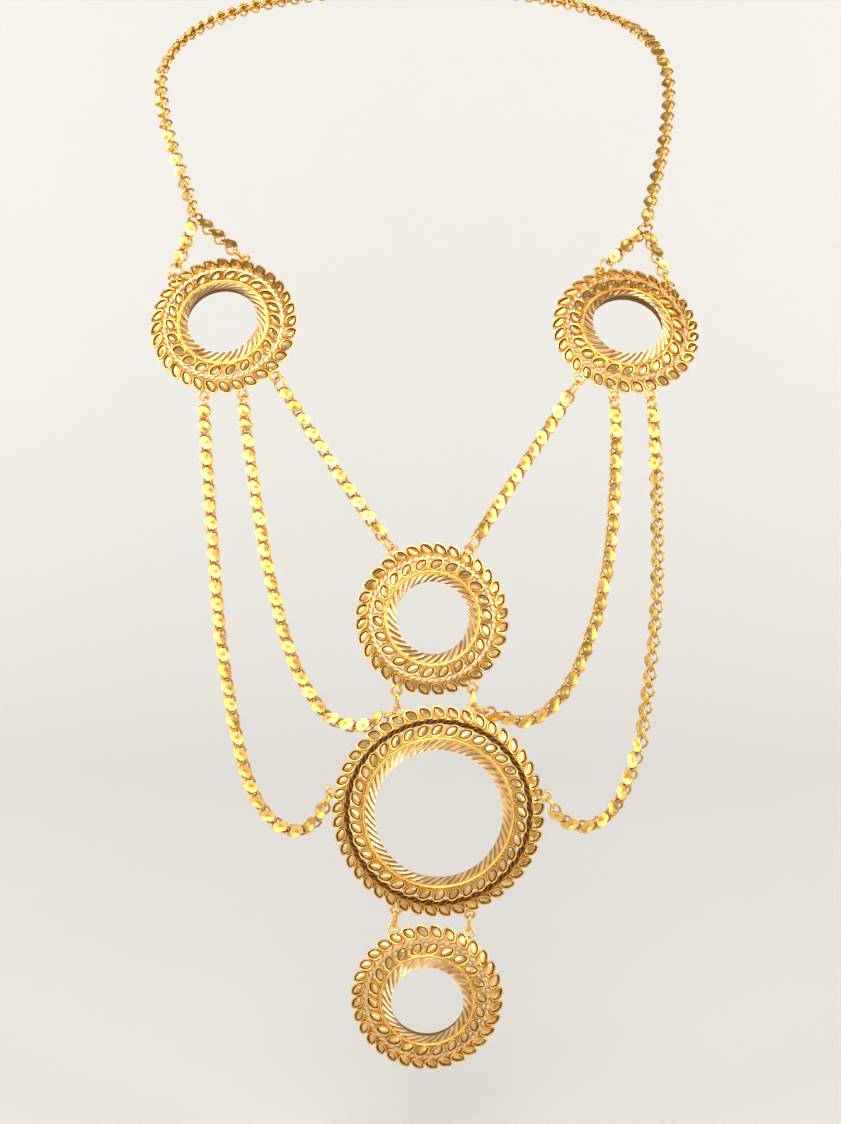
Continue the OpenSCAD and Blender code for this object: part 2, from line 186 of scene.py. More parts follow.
def bezel(open_r, flutes):
    """Closed revolve of the bezel's section, five columns to a flute. Down the front
    slope the columns swing back by 1.6 flutes and every flute sinks in a parabola
    between two sharp ridges."""
    bez_r, seat_r = open_r + BEZEL, open_r + SEAT
    # outer wall, underside of the slope, wall round the coin, seat, ledge, opening
    back = np.array([(bez_r + 0.1, 2.5), (bez_r + 0.1, 2.25), (seat_r + 0.8, RISE - 1.9),
                     (seat_r + 0.8, 0.4), (seat_r, 0.4), (seat_r, RISE - 0.75),
                     (open_r, RISE - 0.75), (open_r, RISE - 0.25)])
    # six rows down the slope, then the rows of the back, which are left uncut
    slope, uncut = np.linspace(0, 1, 6), np.zeros(len(back))
    r = np.concatenate([open_r + slope * BEZEL, back[:, 0]])[:, None]
    z = np.concatenate([RISE - slope * FALL, back[:, 1]])[:, None]
    swing = np.concatenate([slope * FLUTE_SWING, uncut + FLUTE_SWING])[:, None]
    depth = np.concatenate([[0.24, 0.4, 0.45, 0.45, 0.4, 0.24], uncut])[:, None]
    col = np.arange(flutes * FLUTE_COLS)
    angle = (col - swing) * 2 * math.pi / len(col)
    in_flute = col % FLUTE_COLS
    across = in_flute / FLUTE_COLS
    # the depth of a flute differs a little round the bezel, as a hand-held cutter leaves it
    wave = 0.8 + 0.25 * np.sin(3 * angle + 1) * np.sin(5 * angle)
    sink = depth * 4 * (across * (1 - across)) * wave
    points = np.stack([(r - 0.35 * sink) * np.cos(angle), (r - 0.35 * sink) * np.sin(angle), z - sink], -1)
    on_slope = np.concatenate([np.ones(len(slope)), uncut])
    # painted highlight on the flute ridges, whose cut is marked above one, and painted shade down the
    # hollows of the flutes
    cut = np.outer(on_slope, np.array([1.3, 1, 1, 1, 1.1])[in_flute])
    dark = np.outer(on_slope, np.array([0, 0.6, 0.6, 0.3, 0])[in_flute])
    # painted shade in the coin's seat, and a little at the edge of the opening
    dark += np.repeat([0.0, 0.85, 0.3], [9, 4, 1])[:, None]
    return shell(points, grid_faces(len(r), len(col), FLUTE_SWING, flip=True), cut, dark)


def band(radius, height, half_w, half_h, teeth, bite, cut=0.0, twist=0.0, dark=0.0):
    """A ring whose section has six sides, two columns to a tooth: every other column is
    shrunk by the bite, and the flat top tips to one side and the other by the twist."""
    tooth = np.arange(teeth * 2) % 2
    a = np.arange(teeth * 2) * math.pi / teeth
    b = np.radians([0, 55, 125, 180, 235, 305])[:, None]
    swell = 1 - bite * (tooth == 0)
    tip = twist * np.array([0, 1, -1, 0, 0, 0])[:, None] * (2 * tooth - 1)
    r = radius + half_w * np.cos(b) * swell + 0.6 * tip
    z = height + half_h * np.sin(b) * swell + tip
    points = np.stack([r * np.cos(a), r * np.sin(a), z], -1)
    # the corner that the twist tips down gets painted shade
    return shell(points, grid_faces(6, teeth * 2, 0), cut, dark + 0.4 * (tip < 0))


def pierced(n, start, r_in, r_out, top, hole, centre_r, centre_a):
    """A sheet between two circles, one hole to each of n equal sectors. In a sector
    sixteen rays run from the hole's edge to the sector's edge; the skin goes from the
    lower outer edge to the hole, up its wall, out again and down the sector's edge."""
    side = np.linspace(-0.5, 0.5, 5)[:-1]
    half = np.full(4, 0.5)
    edge_a = np.concatenate([side, half, -side, -half])
    edge_r = np.concatenate([-half, side, half, -side])
    pitch = 2 * math.pi / n
    rad = (r_in + r_out) / 2 + edge_r * (r_out - r_in)
    out = np.stack([rad - centre_r, edge_a * pitch * rad], -1)
    ray = out / np.linalg.norm(out, axis=1)[:, None]
    corner = np.array(hole)
    along = np.roll(corner, -1, 0) - corner

    def cross(p, q):
        """How far q turns from p, times both lengths."""
        return p[..., 0] * q[..., 1] - p[..., 1] * q[..., 0]

    with np.errstate(divide="ignore", invalid="ignore"):
        far = cross(corner, along) / cross(ray[:, None], along)
    inner = ray * np.where(far > 0, far, np.inf).min(1)[:, None]
    inner[np.argmax(ray @ (corner / np.linalg.norm(corner, axis=1)[:, None]).T, 0)] = corner
    pts = []
    for loop, lift in ((out, -SHEET), (inner, -SHEET), (inner, 0), ((inner + out) / 2, 0), (out, 0)):
        r = centre_r + loop[:, 0]
        a = loop[:, 1] / r
        pts.append(np.stack([r * np.cos(a), r * np.sin(a), np.interp(r, *top) + lift], -1))
    # painted shade over the sheet between the leaves, deepest under it and down the walls of its holes
    sector = shell(np.concatenate(pts), grid_faces(len(pts), len(ray), 0),
                   dark=np.repeat([0.3, 0.9, 0.6, 0.4, 0.3], len(ray)))
    turns = np.array([turned(2, start + centre_a + i * 360 / n) for i in range(n)])
    return repeated(sector, turns, np.zeros((n, 3)))


def leaf(length, width, thick):
    """A pointed oval in six rings of twelve points, from the foot round the wire rim
    and down the groove to the plate, whose two facets meet on a ridge from tip to
    tip. Ring by ring the oval shrinks a little more along than across."""
    a = np.arange(12) * math.pi / 6
    along = np.cos(a)
    bulge = np.sin(a) * np.abs(np.sin(a)) ** 0.35
    # how much is taken off each half along and across, and the height in shares of the thickness
    rings = ((0.1, 0.1, 0), (0, 0, 0.5), (0.16, 0.13, 1), (0.48, 0.38, 0.94), (0.64, 0.52, 0.32),
             (0.82, 0.7, 0.46))
    pts = [np.stack([(length / 2 - dl) * along, (width / 2 - dw) * bulge, np.full(12, h * thick)], -1)
           for dl, dw, h in rings]
    ridge = np.stack([(length / 2 - rings[-1][0]) * along[1:6], np.full(5, -0.08),
                      np.full(5, 0.8 * thick)], -1)
    # the innermost ring starts at point 60, the ridge at point 72
    edge = 60 + np.arange(12)
    peak = np.concatenate([edge[:1], 72 + np.arange(5), edge[6:7]])
    k = np.arange(6)
    one = np.stack([edge[k], edge[k + 1], peak[k + 1], peak[k]], -1)
    other = np.stack([edge[(12 - k) % 12], peak[k], peak[k + 1], edge[11 - k]], -1)
    foot = np.array([[11, 10, 9, 8], [11, 8, 7, 0], [7, 6, 5, 0], [5, 4, 1, 0], [4, 3, 2, 1]])
    cut = np.concatenate([np.repeat([0, 0, 0, 0, 0.3, 1.0], 12), np.ones(5)])
    # painted shade under the foot, deepest in the groove round the plate and lighter on the plate's edge
    dark = np.concatenate([np.repeat([0.3, 0, 0, 0, 1.0, 0.45], 12), np.zeros(5)])
    return shell(np.vstack(pts + [ridge]), np.vstack([grid_faces(6, 12), one, other, foot]), cut, dark)


def leaf_row(n, rho, height, slope, slant, start):
    """n leaves round a circle, each tipped down its slope and slanted off the radius."""
    lie = turned(1, slope) @ turned(2, slant)
    spin = [turned(2, start + i * 360 / n) for i in range(n)]
    return repeated(leaf(*LEAF), np.array([s @ lie for s in spin]), [s @ (rho, 0, height) for s in spin])


def wire_ring(radius, wire, around=24, sides=8, shade=0.15):
    """A ring of round wire, with painted shade toward its inner side."""
    a = np.arange(around) * 2 * math.pi / around
    b = (np.arange(sides) * 2 * math.pi / sides)[:, None]
    r = radius + wire * np.cos(b)
    points = np.stack([r * np.cos(a), r * np.sin(a), wire * np.sin(b) + 0 * a], -1)
    return shell(points, grid_faces(sides, around, 0), 0, shade * (1 - np.cos(b)) + 0 * a)


def eye_stands(angles, rim_r):
    """How eyes stand on a frame, in its own axes: a matrix and a place for each."""
    spin = [turned(2, a) for a in angles]
    return (np.array([s @ turned(1, LEAF_SLOPE) for s in spin]),
            np.array([s @ (rim_r + EYE_OUT, 0, EYE_LOW) for s in spin]))


def eyes(angles, rim_r):
    """Soldered eyes: a wire ring on the slope of the outer leaves, and a peg of solder
    that runs in under them, a cone frustum of eight sides with shut ends."""
    b = np.arange(8) * math.pi / 4
    # each step of the peg: where it is, outward from the eye's middle, and its radius
    peg = [np.stack([np.full(8, x), r * np.cos(b), r * np.sin(b)], -1)
           for x, r in ((-2.9, 0), (-2.9, 0.47), (-1.35, 0.44), (-1.1, 0.3), (-1.1, 0))]
    # the peg that runs in under the leaves carries painted shade
    one = joined([wire_ring(EYE_R, EYE_W + 2 * FULLER),
                  shell(np.vstack(peg), grid_faces(5, 8, pinched=True), 0, 0.2)])
    return repeated(one, *eye_stands(angles, rim_r))


def coin_frame(open_r, rim_r, stem_r, outer, inner, flutes, outer_start, inner_start, stem_dark,
               stem_twist, eye_angles):
    """All the skins of one frame, in its own axes: x and y in its plane, z to the front."""
    bez_r, foot_r = open_r + BEZEL, rim_r - 1.1
    mid_r = (bez_r + stem_r) / 2 - 0.3
    # the top of the sheet: radii, and the heights there
    top = ([bez_r, bez_r + 0.55, stem_r - 0.55, stem_r + 0.5, foot_r], [2.9, 2.85, 1.95, 1.85, 0.55])
    # the holes lie beside the leaves by these angles, which shrink as the frame grows
    inner_aside, outer_aside = 95 / stem_r, 115.05 / stem_r
    return joined([
        bezel(open_r, flutes),
        band(bez_r + 0.34, 2.98, half_w=0.38, half_h=0.34, teeth=flutes * 4, bite=0.22),
        pierced(inner, inner_start, bez_r - 0.3, mid_r, top, hole=[(0.3, 0.1), (-0.15, 0.35), (-0.2, -0.4)],
                centre_r=bez_r + 0.95, centre_a=360 / inner - inner_aside),
        pierced(inner, inner_start, mid_r, stem_r, top, hole=[(0.35, -0.9), (0.35, 0.8), (-0.6, 0.5)],
                centre_r=stem_r - 1.15, centre_a=inner_aside),
        pierced(outer, outer_start, stem_r, foot_r, top, hole=[(0.3, 0.35), (-0.25, 0.5), (-0.3, -0.45)],
                centre_r=stem_r + 1.05, centre_a=outer_aside),
        # the stem's cut above one paints a highlight on it, and stem_dark paints shade over it, heavily on
        # the large frame
        band(stem_r, 1.85, half_w=0.72, half_h=0.5, teeth=outer * 2, bite=0.12, cut=1.5,
             twist=stem_twist, dark=stem_dark),
        leaf_row(outer, (stem_r + rim_r) / 2 + 0.3, 0.75, slope=LEAF_SLOPE, slant=45, start=outer_start),
        leaf_row(inner, (bez_r + stem_r) / 2 + 0.1, 2.1, slope=11, slant=-48, start=inner_start),
        eyes(eye_angles, rim_r)])


def gold(name, wire, plate, faint, shade, rough, cut_rough):
    """Gold whose colour and polish follow the cut and the darkening of the surface, which is
    painted shade except for the clasp's dark seam, with a cast grain and fine hand-polish
    scratches. Cut gold drifts from one tone to a fainter one; where the cut is marked above one it pales
    toward a painted highlight."""
    m = bpy.data.materials.new(name)
    m.use_nodes = True
    new, link = m.node_tree.nodes.new, m.node_tree.links.new
    skin = m.node_tree.nodes["Principled BSDF"]
    skin.inputs["Metallic"].default_value = 1.0
    place = new("ShaderNodeTexCoord").outputs["Object"]

    def field(attribute):
        """The value of a point attribute."""
        n = new("ShaderNodeAttribute")
        n.attribute_name = attribute
        return n.outputs["Fac"]

    def noise(scale, detail, stretch=(1, 1, 1)):
        """Noise at so many waves to a metre, drawn out along a slanting direction."""
        turn = new("ShaderNodeMapping")
        turn.inputs["Scale"].default_value = stretch
        turn.inputs["Rotation"].default_value = (0.4, 0.7, 0.3)
        link(place, turn.inputs["Vector"])
        n = new("ShaderNodeTexNoise")
        n.inputs["Scale"].default_value = scale
        n.inputs["Detail"].default_value = detail
        link(turn.outputs["Vector"], n.inputs["Vector"])
        return n.outputs["Fac"]

    def blend(fac, a, b):
        """A colour or a socket a, changed into b as the factor goes from 0 to 1."""
        n = new("ShaderNodeMix")
        n.data_type = "RGBA"
        link(fac, n.inputs["Factor"])
        for socket, value in ((n.inputs["A"], a), (n.inputs["B"], b)):
            if isinstance(value, tuple):
                socket.default_value = value + (1,)
            else:
                link(value, socket)
        return n.outputs["Result"]

    def span(value, low, high, to_low, to_high):
        """The range from low to high of a value, stretched to another range."""
        n = new("ShaderNodeMapRange")
        for key, v in (("From Min", low), ("From Max", high), ("To Min", to_low), ("To Max", to_high)):
            n.inputs[key].default_value = v
        link(value, n.inputs["Value"])
        return n.outputs["Result"]

    def sum_of(a, b):
        """Two values added, kept between 0 and 1."""
        n = new("ShaderNodeMath")
        n.operation = "ADD"
        n.use_clamp = True
        link(a, n.inputs[0])
        link(b, n.inputs[1])
        return n.outputs["Value"]

    grain, drift, scratch = noise(900, 3), noise(160, 2), noise(500, 4, (0.15, 1, 1))
    mottle = noise(330, 1)
    warm = tuple(c * k for c, k in zip(wire, (0.9, 0.8, 0.66)))
    base = blend(span(drift, 0.35, 0.7, 0, 1), wire, warm)
    base = blend(field("cut"), base, blend(span(mottle, 0.4, 0.62, 0, 1), plate, faint))
    # a cut marked above one pales the gold toward this colour: a painted highlight on the flute ridges and
    # the stems
    base = blend(span(field("cut"), 1, 2, 0, 1), base, (1.0, 0.88, 0.66))
    # the darkening blends toward the shade colour: painted shade, besides the clasp's dark seam; the cast
    # grain adds random darker specks
    shade_and_grain = sum_of(field("dark"), span(grain, 0.62, 0.85, 0, 0.35))
    link(blend(shade_and_grain, base, shade), skin.inputs["Base Color"])
    worn = sum_of(span(scratch, 0.3, 0.75, rough * 0.7, rough * 1.5),
                  sum_of(span(field("dark"), 0, 1, 0, 0.3), span(field("cut"), 1, 2, 0, 0.4)))
    worn = sum_of(worn, span(field("cut"), 0, 1, 0, cut_rough))
    link(worn, skin.inputs["Roughness"])
    bump = new("ShaderNodeBump")
    bump.inputs["Strength"].default_value = 0.2
    bump.inputs["Distance"].default_value = 0.00004  # metres, like the waves of the noise
    link(grain, bump.inputs["Height"])
    link(bump.outputs["Normal"], skin.inputs["Normal"])
    return m


def piece(name, skin, finish, node, body, crease=62):
    """The mesh object of a skin, brought to metres and riding on its body in place of its
    CAD node. Repeated corners and unused points are dropped. Edges are sharp where the
    faces turn by more than the crease angle, and by more than 5 degrees in cut metal."""
    points, faces, fields = skin
    faces = np.where(faces == np.roll(faces, -1, 1), -1, faces)
    keep = faces >= 0
    count = keep.sum(1)
    used, corners = np.unique(faces[keep], return_inverse=True)
    points, fields = points[used], fields[used]
    mesh = bpy.data.meshes.new(name)
    mesh.vertices.add(len(points))
    mesh.vertices.foreach_set("co", (points / 1000).astype(np.float32).ravel())
    mesh.loops.add(int(count.sum()))
    mesh.loops.foreach_set("vertex_index", corners.astype(np.int32))
    mesh.polygons.add(len(faces))
    mesh.polygons.foreach_set("loop_start", (np.cumsum(count) - count).astype(np.int32))
    mesh.update(calc_edges=True)
    mesh.validate()
    for k, field in enumerate(("cut", "dark")):
        values = mesh.attributes.new(field, "FLOAT", "POINT").data
        values.foreach_set("value", fields[:, k].astype(np.float32))
    mesh.shade_smooth()
    edge, ends = np.empty(len(corners), np.int32), np.empty(len(mesh.edges) * 2, np.int32)
    normal = np.empty(len(faces) * 3, np.float32)
    mesh.loops.foreach_get("edge_index", edge)
    mesh.edges.foreach_get("vertices", ends)
    mesh.polygons.foreach_get("normal", normal)
    normal = normal.reshape(-1, 3)
    # every edge of a closed skin has two faces, so sorted by edge they stand in pairs
    pair = np.repeat(np.arange(len(faces)), count)[np.argsort(edge, kind="stable")].reshape(-1, 2)
    bend = np.sum(normal[pair[:, 0]] * normal[pair[:, 1]], 1)
    is_cut = fields[ends, 0].reshape(-1, 2).min(1) > 0.9
    limit = np.where(is_cut, math.cos(math.radians(5)), math.cos(math.radians(crease)))
    mesh.attributes.new("sharp_edge", "BOOLEAN", "EDGE").data.foreach_set("value", bend < limit)
    mesh.materials.append(finish)
    made = bpy.data.objects.new(name, mesh)
    bpy.context.scene.collection.objects.link(made)
    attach(made, body)
    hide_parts(node)


frame_gold = gold("laurel_gold", wire=(1.0, 0.68, 0.19), plate=(0.95, 0.67, 0.34),
                  faint=(0.68, 0.43, 0.18), shade=(0.13, 0.04, 0.006), rough=0.32, cut_rough=-0.05)
# centre, lean upward, turn to the side, make, angles of the eyes
FRAMES = {
    "upper_left": ((-59.9, -110.3, -108.4), 28, -3, SMALL, (136, 77, -102, -73, -45)),
    "upper_right": ((60.4, -111.2, -110), 37, 6, SMALL, (104, 47, -133.5, -104.5, -76.5)),
    "centre": ((2.3, -150, -190), 17.6, 2, SMALL, (119, 61, -117, -60)),
    "large": ((4.1, -161.1, -244), 6.8, 0, LARGE, (112, 71, 170, 8, -113, -73)),
    "drop": ((0.9, -163.7, -299.1), 0, 0, SMALL, (115, 58))}
for which, (centre, lean, turn, make, eye_angles) in FRAMES.items():
    pose = turned(2, turn) @ turned(0, 90 - lean)
    piece("laurel_frame_" + which, repeated(coin_frame(eye_angles=eye_angles, **make), [pose], [centre]),
          frame_gold, "coin_frame_" + which, "drop" if which == "drop" else "necklace")


# Platelet chain: every link is two crossed wire rings soldered together, with a small
# dished plate across the front. Jump rings fasten the ends in the frames' eyes.

LINK_R = 1.75  # from the middle of a link's ring to the middle of its wire
LINK_C = 1.2  # from the middle of a link to the middle of each of its rings
LINK_W = 0.34  # radius of a link's wire
LINK_TWIST = 35  # turn of each ring about the length of the link
PLATE_LONG, PLATE_WIDE = 2.2, 1.42  # half the length and half the width of a link's plate
PLATE_TURN = 38  # turn of the plate across the link
PLATE_TIP = 4  # the most that a plate is tipped either way
RING_W = 0.36  # radius of the wire of jump rings, apex rings and oval links
GAP = 0.2  # play between the wires of hanging links
# from the middle of each kind of ring to the middle of its wire
SWAG_RING, V_RING, BAIL_RING, APEX_RING = 1.85, 2.4, 2.05, 2.15
WINDOW = 1.4  # a path's direction is taken over this much either side
CHEST_MID = 1  # where the line down the middle of the chest lies
CHEST_CURVE = 0.0006  # how fast it falls back, for each square millimetre of the distance from there
# height, and where the middle of the chest lies at that height; minus is forward
CHEST = np.array([[-330, -163.7], [-290, -163.7], [-275, -163.3], [-260, -162.5], [-244, -161.1],
                  [-230, -159.3], [-215, -156.6], [-200, -153], [-190, -150], [-175, -144.9],
                  [-160, -139], [-145, -132.3], [-130, -124.7], [-115, -116.4], [-100, -107.4],
                  [-85, -98.1]])
# height, and how far the chest leans upward there
LEAN = np.array([[-330, 0], [-290, 0], [-238, 7], [-190, 17.6], [-118, 29], [-90, 32]])


def unit(v):
    """Vectors, one to a row, brought to length one."""
    v = np.asarray(v, float)
    return v / np.linalg.norm(v, axis=-1, keepdims=True)


def on_chest(x, z, proud=0.0):
    """The point of the chest at a width and a height: the line down its middle, drawn
    back with the square of the width, and out again by how far it stands proud."""
    return np.array([x, np.interp(z, *CHEST.T) + CHEST_CURVE * (x - CHEST_MID) ** 2 - proud, z])


def chest_out(p):
    """The way the chest faces at each point."""
    up = np.tan(np.radians(np.interp(p[..., 2], *LEAN.T)))
    return unit(np.stack([2 * CHEST_CURVE * (p[..., 0] - CHEST_MID), -np.ones_like(up), up], -1))


def on_wire(centre, facing, radius, toward):
    """The point of a ring's wire that lies nearest the way to another point."""
    v = np.asarray(toward, float) - centre
    return centre + radius * unit(v - (v @ facing) * facing)


def eye(which, angle):
    """Centre and facing of a frame's eye."""
    centre, lean, turn, make, _ = FRAMES[which]
    pose = turned(2, turn) @ turned(0, 90 - lean)
    stands, places = eye_stands([angle], make["rim_r"])
    return np.array(centre) + pose @ places[0], pose @ stands[0][:, 2]


def route(waypoints):
    """A smooth path through its waypoints (Catmull-Rom, six steps to a span) and the
    distance run at each of its points."""
    p = np.array(waypoints, float)
    q = np.vstack([p[:1], p, p[-1:]])
    t = (np.arange(6) / 6)[None, :, None]
    a, b, c, d = (q[k:len(q) - 3 + k, None] for k in range(4))
    run = 0.5 * (2 * b + (c - a) * t + (2 * a - 5 * b + 4 * c - d) * t ** 2
                 + (3 * b - a - 3 * c + d) * t ** 3)
    run = np.vstack([run.reshape(-1, 3), p[-1:]])
    return run, np.concatenate([[0], np.cumsum(np.linalg.norm(np.diff(run, axis=0), axis=1))])


def at(path, s):
    """Points at distances along a path."""
    run, far = path
    return np.stack([np.interp(s, far, run[:, k]) for k in range(3)], -1)


def way(path, s):
    """Direction at distances along a path."""
    return unit(at(path, np.asarray(s) + WINDOW) - at(path, np.asarray(s) - WINDOW))


def stood(along, out, roll):
    """Matrices whose x axis runs along, whose z axis faces out, rolled about x."""
    z = unit(out - np.sum(out * along, -1, keepdims=True) * along)
    y = np.cross(z, along)
    c, s = np.cos(np.radians(roll))[..., None], np.sin(np.radians(roll))[..., None]
    return np.stack([along, c * y + s * z, c * z - s * y], -1)


def platelet():
    """An oval plate with straight flanks: rings of ten points from the foot up the edge
    to a crisp rim, and down a shallow dish to its middle."""
    a = np.arange(10) * math.pi / 5 + math.pi / 10
    x = PLATE_LONG * np.cos(a)
    y = np.clip(PLATE_LONG * np.sin(a), -PLATE_WIDE, PLATE_WIDE)
    # size as a share of the outline, and height
    rings = ((0.92, 0.0), (1.0, 0.12), (0.95, 0.44), (0.4, 0.37), (0.14, 0.22))
    pts = [np.stack([x * k, y * k, np.full(10, z)], -1) for k, z in rings]
    foot = np.array([[9, 8, 7, 6], [9, 6, 5, 0], [5, 4, 1, 0], [4, 3, 2, 1]])
    faces = np.vstack([grid_faces(5, 10), foot, foot[:, ::-1] + 40])
    # painted shade on the foot and in the dimple at the middle
    return shell(np.vstack(pts), faces, cut=np.repeat([0, 0, 0.95, 0.85, 0.7], 10),
                 dark=np.repeat([0.3, 0.1, 0, 0, 0.5], 10))


def link_rings():
    """Two rings of twelve by five faces, set back and forth and twisted apart."""
    # the link wires carry heavier painted shade on their inner side, under the plate
    ring = wire_ring(LINK_R, LINK_W + FULLER, around=12, sides=5, shade=0.4)
    lie = np.array([turned(0, -LINK_TWIST), turned(0, LINK_TWIST)])
    return repeated(ring, lie, [lie[0] @ (-LINK_C, 0, 0), lie[1] @ (LINK_C, 0, 0)])


def link_plate():
    """The plate, turned across its link and lying on the crown of the rings."""
    lift = LINK_R * math.sin(math.radians(LINK_TWIST)) + 0.08
    return repeated(platelet(), [turned(2, PLATE_TURN)], [(0, 0, lift)])


def links(path, n, start, end, rolls, out):
    """n links spread evenly along a path between two end distances. Each plate was
    soldered on by hand and is tipped a few degrees its own way."""
    s = np.linspace(start, path[1][-1] - end, n)
    c, d = at(path, s), way(path, s)
    stand = stood(d, out(c), np.interp(np.arange(n), *np.array(rolls, float).T))
    # sines of uneven steps make the tips look random
    tip = [turned(0, PLATE_TIP * math.sin(2.4 * i)) @ turned(1, PLATE_TIP * math.cos(3.7 * i))
           for i in range(n)]
    return joined([repeated(link_rings(), stand, c), repeated(link_plate(), stand @ np.array(tip), c)])


def jump_ring(path, s, facing, roll, radius):
    """A ring of wire standing on the path, its face leant off the eye's by its roll."""
    toward = way(path, WINDOW if s < path[1][-1] / 2 else path[1][-1] - WINDOW)
    return repeated(wire_ring(radius, RING_W + FULLER),
                    stood(toward[None], facing[None], np.array([roll])), at(path, s)[None])


def link_hang(wire):
    """How far the middle of a link hangs from a wire of this radius."""
    return LINK_C + LINK_R - wire - LINK_W - GAP


def ring_hang(radius):
    """How far the middle of a jump ring hangs from the wire of its eye."""
    return radius - EYE_W - RING_W - GAP


def swag(first, mid, last, n, ring_r, rolls, turn_a, turn_b):
    """A chain between two eyes, with a jump ring at each end."""
    (ca, na), (cb, nb) = eye(*first), eye(*last)
    m = [on_chest(*q) for q in mid]
    path = route([on_wire(ca, na, EYE_R, m[0])] + m + [on_wire(cb, nb, EYE_R, m[-1])])
    g = ring_hang(ring_r)
    reach = g + ring_r + link_hang(RING_W)
    return joined([jump_ring(path, g, na, turn_a, ring_r),
                   links(path, n, reach, reach, rolls, chest_out),
                   jump_ring(path, path[1][-1] - g, nb, turn_b, ring_r)])


chain_gold = gold("platelet_chain_gold", wire=(0.98, 0.59, 0.12), plate=(0.95, 0.62, 0.20),
                  faint=(0.86, 0.50, 0.12), shade=(0.30, 0.11, 0.01), rough=0.2, cut_rough=0.09)
CHAIN_CREASE = 74  # the five-sided wires of the links turn by 72 degrees and stay smooth
# first eye, waypoints (across, height, and how far proud of the chest), last eye, number of links,
# radius of the jump rings, rolls (at which link, how much), and the leans of the first and the last ring
SWAGS = {
    "v_chain_left": (
        ("upper_left", -45), [(-35.2, -135.3), (-23.7, -151.6)], ("centre", 119), 11, V_RING,
        [(0, 8), (2, 0), (8, 0), (10, -8)], 60, -60),
    "v_chain_right": (
        ("upper_right", -133.5), [(38, -135.5), (26.5, -151.6)], ("centre", 61), 11, V_RING,
        [(0, 10), (2, 0), (8, 0), (10, -8)], 60, -60),
    "inner_swag_left": (
        ("upper_left", -73),
        [(-51.7, -141.1), (-46.7, -168.9), (-42, -188.2), (-38.5, -199.2), (-35, -207), (-31.1, -213.1),
         (-26.57, -217.76, 0.15), (-20.44, -219.85, 0.04), (-15.76, -219.44, 0.16)],
        ("large", 112), 24, SWAG_RING, [(0, 8), (2, 0), (19, 0), (23, -34.7)], 64, -72.7),
    "inner_swag_right": (
        ("upper_right", -104.5),
        [(56.58, -141.16), (54.36, -168.38, -0.04), (50.4, -187.7), (47.5, -195.9), (45.1, -202),
         (42.1, -207.5), (38.3, -212.7), (34.37, -216.23, 0.15), (28.8, -218.51, -0.18),
         (23.03, -217.34, -0.03)],
        ("large", 71), 24, SWAG_RING, [(0, 10.5), (2, -1.3), (21, -8.4), (23, -33.2)], 59.3, 88.4),
    "outer_swag_left": (
        ("upper_left", -102),
        [(-64.1, -142), (-59.5, -188.4), (-56.6, -208.4), (-53.9, -222.7), (-51.5, -232.2),
         (-48.8, -239.5), (-45.5, -244.8), (-41.63, -248.51, -0.32), (-36.08, -249.86, -0.24),
         (-30.98, -246.8, 0.06)],
        ("large", 170), 30, SWAG_RING, [(0, 8), (2, 0), (27, -2.2), (29, -22.8)], 66, -56.8),
    "outer_swag_right": (
        ("upper_right", -76.5),
        [(68.2, -142), (68.3, -160), (67.4, -187.9), (63.4, -220), (61.6, -227.5), (59.4, -234.4),
         (56.5, -240.8), (53.08, -245.58, -0.22), (47.12, -248.75, -0.29), (40.13, -246.77, 0.18)],
        ("large", 8), 29, SWAG_RING, [(0, 8), (5, 70), (18, 70), (25, 8.9), (28, -17.8)], 68, 71.8)}
for name, wants in SWAGS.items():
    piece("platelet_" + name, swag(*wants), chain_gold, name, "necklace", CHAIN_CREASE)


# Bails: three links of the same chain from an apex ring down to a round ring in an eye of an
# upper frame, two to a side, so that each frame hangs from a point.

# middle of each apex ring, the way it faces, and the way its wire starts
APEX = {"left": (np.array([-69.7, -93.5, -77.0]), unit([-0.235, -0.672, 0.702]), unit([83, -35, 0])),
        "right": (np.array([67.85, -91.24, -80.07]), unit([-0.284, -0.666, 0.69]), unit([75, -30, 0]))}
# angle of the eye, rolls of the first and the last link, lean of the ring
BAILS = {"left_outer": (136, -8.8, 13.7, -54.5), "left_inner": (77, -20.4, -24.5, -59),
         "right_inner": (104, 12.1, 5.9, -60.6), "right_outer": (47, -3.2, -21.2, -54.2)}
for name, (angle, roll_a, roll_b, turn) in BAILS.items():
    side = name.split("_")[0]
    apex, facing, _ = APEX[side]
    centre, eye_out = eye("upper_" + side, angle)
    path = route([on_wire(apex, facing, APEX_RING, centre), on_wire(centre, eye_out, EYE_R, apex)])
    g = ring_hang(BAIL_RING)
    bail = joined([links(path, 3, link_hang(RING_W), g + BAIL_RING + link_hang(RING_W),
                         [(0, roll_a), (2, roll_b)], chest_out),
                   jump_ring(path, path[1][-1] - g, eye_out, turn, BAIL_RING)])
    piece("bail_links_" + name, bail, chain_gold, "bail_" + name, "necklace", CHAIN_CREASE)


# Neck chains: thirty-four links on each side, from the apex ring over the shoulder and round behind
# the neck to the clasp. They leave the slope of the chest and turn with the neck.

NECK_WIDE, NECK_DEEP = 85, 62  # half the loop across, and from front to back
NECK_MID = -60  # the middle of the neck, from the nape; minus is forward
NECK_UP = 0.55  # how much a link faces up, against how much it faces out
CLASP_Y = 2.0  # the clasp's middle lies this far behind the nape
CLASP_EYE_X, CLASP_EYE_R = 5.9, 1.3  # how far out its eyes are, and the radius to the middle of their wire
CLASP_TURN = 28.7  # how far the clasp's eyes are turned about its length, in the middle
CLASP_FAN = 35  # how far each eye is turned off that, one on and the other back
